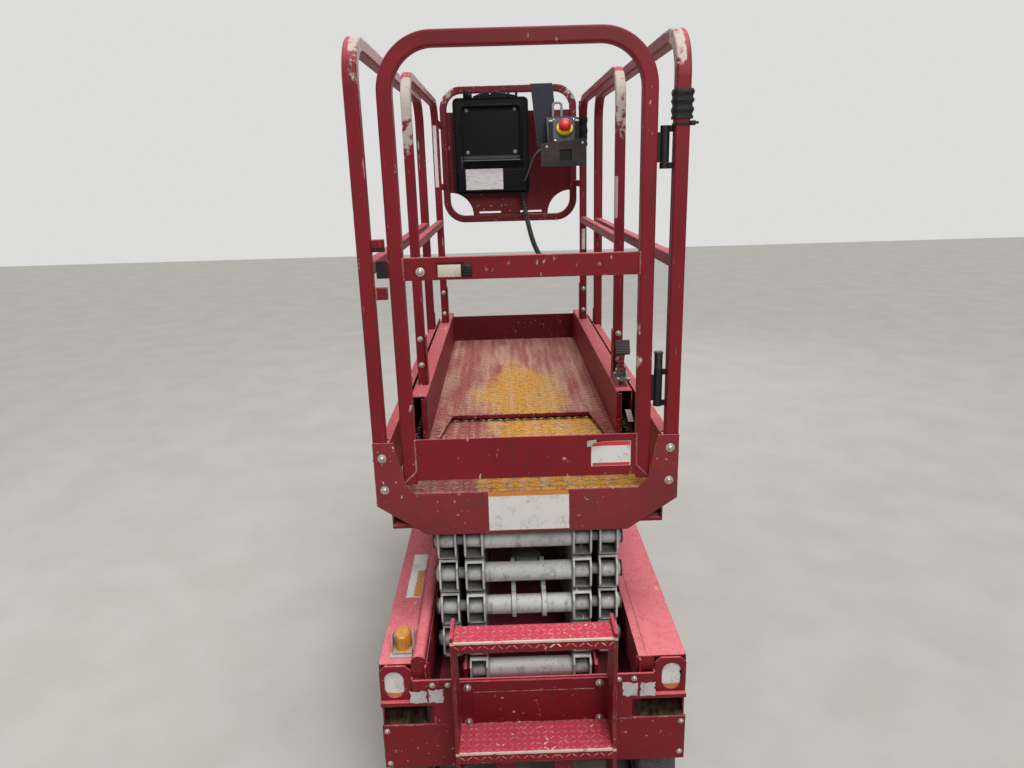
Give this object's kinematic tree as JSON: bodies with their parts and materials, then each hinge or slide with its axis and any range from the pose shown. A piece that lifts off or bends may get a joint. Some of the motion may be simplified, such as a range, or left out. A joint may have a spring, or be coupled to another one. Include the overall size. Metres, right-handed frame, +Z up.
{
  "type": "scissor lift",
  "caption": "Electric slab scissor lift, folded down: grey arm stack on a red chassis with a rear ladder, guarded platform, swing gate and sliding deck extension.",
  "frame": {"origin": "on the ground, under the middle of the machine's outline", "axes": "+X to the right of someone climbing the rear ladder, +Y from the ladder to the front, +Z up"},
  "size_m": [0.76, 2, 2.065],
  "materials": {
    "red_paint": "satin",
    "grey_paint": "satin",
    "deck_paint": "matte",
    "rim_paint": "satin",
    "black_rubber": "matte",
    "black_plastic": "matte",
    "slide_plastic": "matte",
    "amber_plastic": "gloss",
    "battery_case": "matte",
    "bright_rod": "polished",
    "dark_steel": "satin",
    "cable_grey": "matte"
  },
  "bodies": {
    "chassis": {"chassis_frame": "red_paint", "side_covers": "red_paint", "rear_panel": "red_paint", "front_panel": "red_paint", "rear_ladder": "red_paint", "rear_axle": "dark_steel", "front_axle": "dark_steel", "pothole_guards": "red_paint", "beacon": "amber_plastic"},
    "left_tray": {"left_tray": "red_paint", "left_batteries": "battery_case"},
    "right_tray": {"right_tray": "red_paint", "power_unit": "dark_steel"},
    "left_knuckle": {"left_knuckle": "dark_steel"},
    "right_knuckle": {"right_knuckle": "dark_steel"},
    "front_left_wheel": {"front_left_tyre": "black_rubber", "front_left_rim": "rim_paint"},
    "front_right_wheel": {"front_right_tyre": "black_rubber", "front_right_rim": "rim_paint"},
    "rear_left_wheel": {"rear_left_tyre": "black_rubber", "rear_left_rim": "rim_paint"},
    "rear_right_wheel": {"rear_right_tyre": "black_rubber", "rear_right_rim": "rim_paint"},
    "inner_1": {"inner_arms_1": "grey_paint"},
    "outer_1": {"outer_arms_1": "grey_paint"},
    "inner_2": {"inner_arms_2": "grey_paint"},
    "outer_2": {"outer_arms_2": "grey_paint"},
    "inner_3": {"inner_arms_3": "grey_paint"},
    "outer_3": {"outer_arms_3": "grey_paint"},
    "inner_4": {"inner_arms_4": "grey_paint"},
    "outer_4": {"outer_arms_4": "grey_paint"},
    "inner_5": {"inner_arms_5": "grey_paint"},
    "outer_5": {"outer_arms_5": "grey_paint"},
    "lift_barrel": {"lift_barrel": "grey_paint"},
    "lift_rod": {"lift_rod": "bright_rod"},
    "platform": {"platform_deck": "red_paint", "rear_skirt": "red_paint", "slide_strips": "slide_plastic", "main_rails": "red_paint"},
    "gate": {"entry_gate": "red_paint"},
    "extension": {"extension_deck": "red_paint", "extension_rails": "red_paint", "control_loop": "red_paint", "manual_box": "black_plastic", "control_box": "dark_steel", "deck_lock": "dark_steel", "control_conduit": "black_plastic", "control_cable": "cable_grey"}
  },
  "joints": [
    {"name": "lift", "type": "hinge", "parent": "chassis", "child": "inner_1", "pos_m": [0, -0.658, 0.37], "axis": [1, 0, 0], "range_deg": [0, 45.8]},
    {"name": "cross_1", "type": "hinge", "parent": "inner_1", "child": "outer_1", "pos_m": [0, 0.0402, 0.42015], "axis": [1, 0, 0], "range_deg": [-93.1, 0]},
    {"name": "stack_2", "type": "hinge", "parent": "outer_1", "child": "inner_2", "pos_m": [0, -0.658, 0.4703], "axis": [1, 0, 0], "range_deg": [0, 93.1]},
    {"name": "cross_2", "type": "hinge", "parent": "inner_2", "child": "outer_2", "pos_m": [0, 0.0402, 0.52045], "axis": [1, 0, 0], "range_deg": [-93.1, 0]},
    {"name": "stack_3", "type": "hinge", "parent": "outer_2", "child": "inner_3", "pos_m": [0, -0.658, 0.5706], "axis": [1, 0, 0], "range_deg": [0, 93.1]},
    {"name": "cross_3", "type": "hinge", "parent": "inner_3", "child": "outer_3", "pos_m": [0, 0.0402, 0.62075], "axis": [1, 0, 0], "range_deg": [-93.1, 0]},
    {"name": "stack_4", "type": "hinge", "parent": "outer_3", "child": "inner_4", "pos_m": [0, -0.658, 0.6709], "axis": [1, 0, 0], "range_deg": [0, 93.1]},
    {"name": "cross_4", "type": "hinge", "parent": "inner_4", "child": "outer_4", "pos_m": [0, 0.0402, 0.72105], "axis": [1, 0, 0], "range_deg": [-93.1, 0]},
    {"name": "stack_5", "type": "hinge", "parent": "outer_4", "child": "inner_5", "pos_m": [0, -0.658, 0.7712], "axis": [1, 0, 0], "range_deg": [0, 93.1]},
    {"name": "cross_5", "type": "hinge", "parent": "inner_5", "child": "outer_5", "pos_m": [0, 0.0402, 0.82135], "axis": [1, 0, 0], "range_deg": [-93.1, 0]},
    {"name": "platform_level", "type": "hinge", "parent": "outer_5", "child": "platform", "pos_m": [0, -0.658, 0.8715], "axis": [1, 0, 0], "range_deg": [0, 46.8]},
    {"name": "barrel_swing", "type": "hinge", "parent": "inner_3", "child": "lift_barrel", "pos_m": [0, -0.55115, 0.61838], "axis": [1, 0, 0], "range_deg": [0, 16]},
    {"name": "rod_slide", "type": "slide", "parent": "lift_barrel", "child": "lift_rod", "axis": [0, 0.9968, 0.0798], "range_m": [0, 0.899]},
    {"name": "gate_swing", "type": "hinge", "parent": "platform", "child": "gate", "pos_m": [0.3285, -0.6935, 1.2], "axis": [0, 0, -1], "range_deg": [0, 65]},
    {"name": "extension_slide", "type": "slide", "parent": "platform", "child": "extension", "axis": [0, 1, 0], "range_m": [0, 0.91]},
    {"name": "rear_left_roll", "type": "hinge", "parent": "chassis", "child": "rear_left_wheel", "pos_m": [-0.325, -0.69, 0.1525], "axis": [1, 0, 0], "continuous": true},
    {"name": "rear_right_roll", "type": "hinge", "parent": "chassis", "child": "rear_right_wheel", "pos_m": [0.325, -0.69, 0.1525], "axis": [1, 0, 0], "continuous": true},
    {"name": "steer_right", "type": "hinge", "parent": "chassis", "child": "right_knuckle", "pos_m": [0.205, 0.63, 0.1525], "axis": [0, 0, 1], "range_deg": [-60, 60]},
    {"name": "steer_left", "type": "hinge", "parent": "chassis", "child": "left_knuckle", "pos_m": [-0.205, 0.63, 0.1525], "axis": [0, 0, 1], "range_deg": [-60, 60]},
    {"name": "front_left_roll", "type": "hinge", "parent": "left_knuckle", "child": "front_left_wheel", "pos_m": [-0.325, 0.63, 0.1525], "axis": [1, 0, 0], "continuous": true},
    {"name": "front_right_roll", "type": "hinge", "parent": "right_knuckle", "child": "front_right_wheel", "pos_m": [0.325, 0.63, 0.1525], "axis": [1, 0, 0], "continuous": true},
    {"name": "right_tray_swing", "type": "hinge", "parent": "chassis", "child": "right_tray", "pos_m": [0.368, -0.4985, 0.2], "axis": [0, 0, -1], "range_deg": [0, 90]},
    {"name": "left_tray_swing", "type": "hinge", "parent": "chassis", "child": "left_tray", "pos_m": [-0.368, -0.4985, 0.2], "axis": [0, 0, 1], "range_deg": [0, 90]}
  ],
  "couplings": [
    {"joint": "cross_1", "follows": "lift", "ratio": -2},
    {"joint": "stack_2", "follows": "lift", "ratio": 2},
    {"joint": "cross_2", "follows": "lift", "ratio": -2},
    {"joint": "stack_3", "follows": "lift", "ratio": 2},
    {"joint": "cross_3", "follows": "lift", "ratio": -2},
    {"joint": "stack_4", "follows": "lift", "ratio": 2},
    {"joint": "cross_4", "follows": "lift", "ratio": -2},
    {"joint": "stack_5", "follows": "lift", "ratio": 2},
    {"joint": "cross_5", "follows": "lift", "ratio": -2},
    {"joint": "platform_level", "follows": "lift", "ratio": 1},
    {"joint": "barrel_swing", "follows": "lift", "ratio": 0.34758},
    {"joint": "rod_slide", "follows": "lift", "m_per_rad": 1.124},
    {"joint": "steer_left", "follows": "steer_right", "ratio": 1}
  ]
}
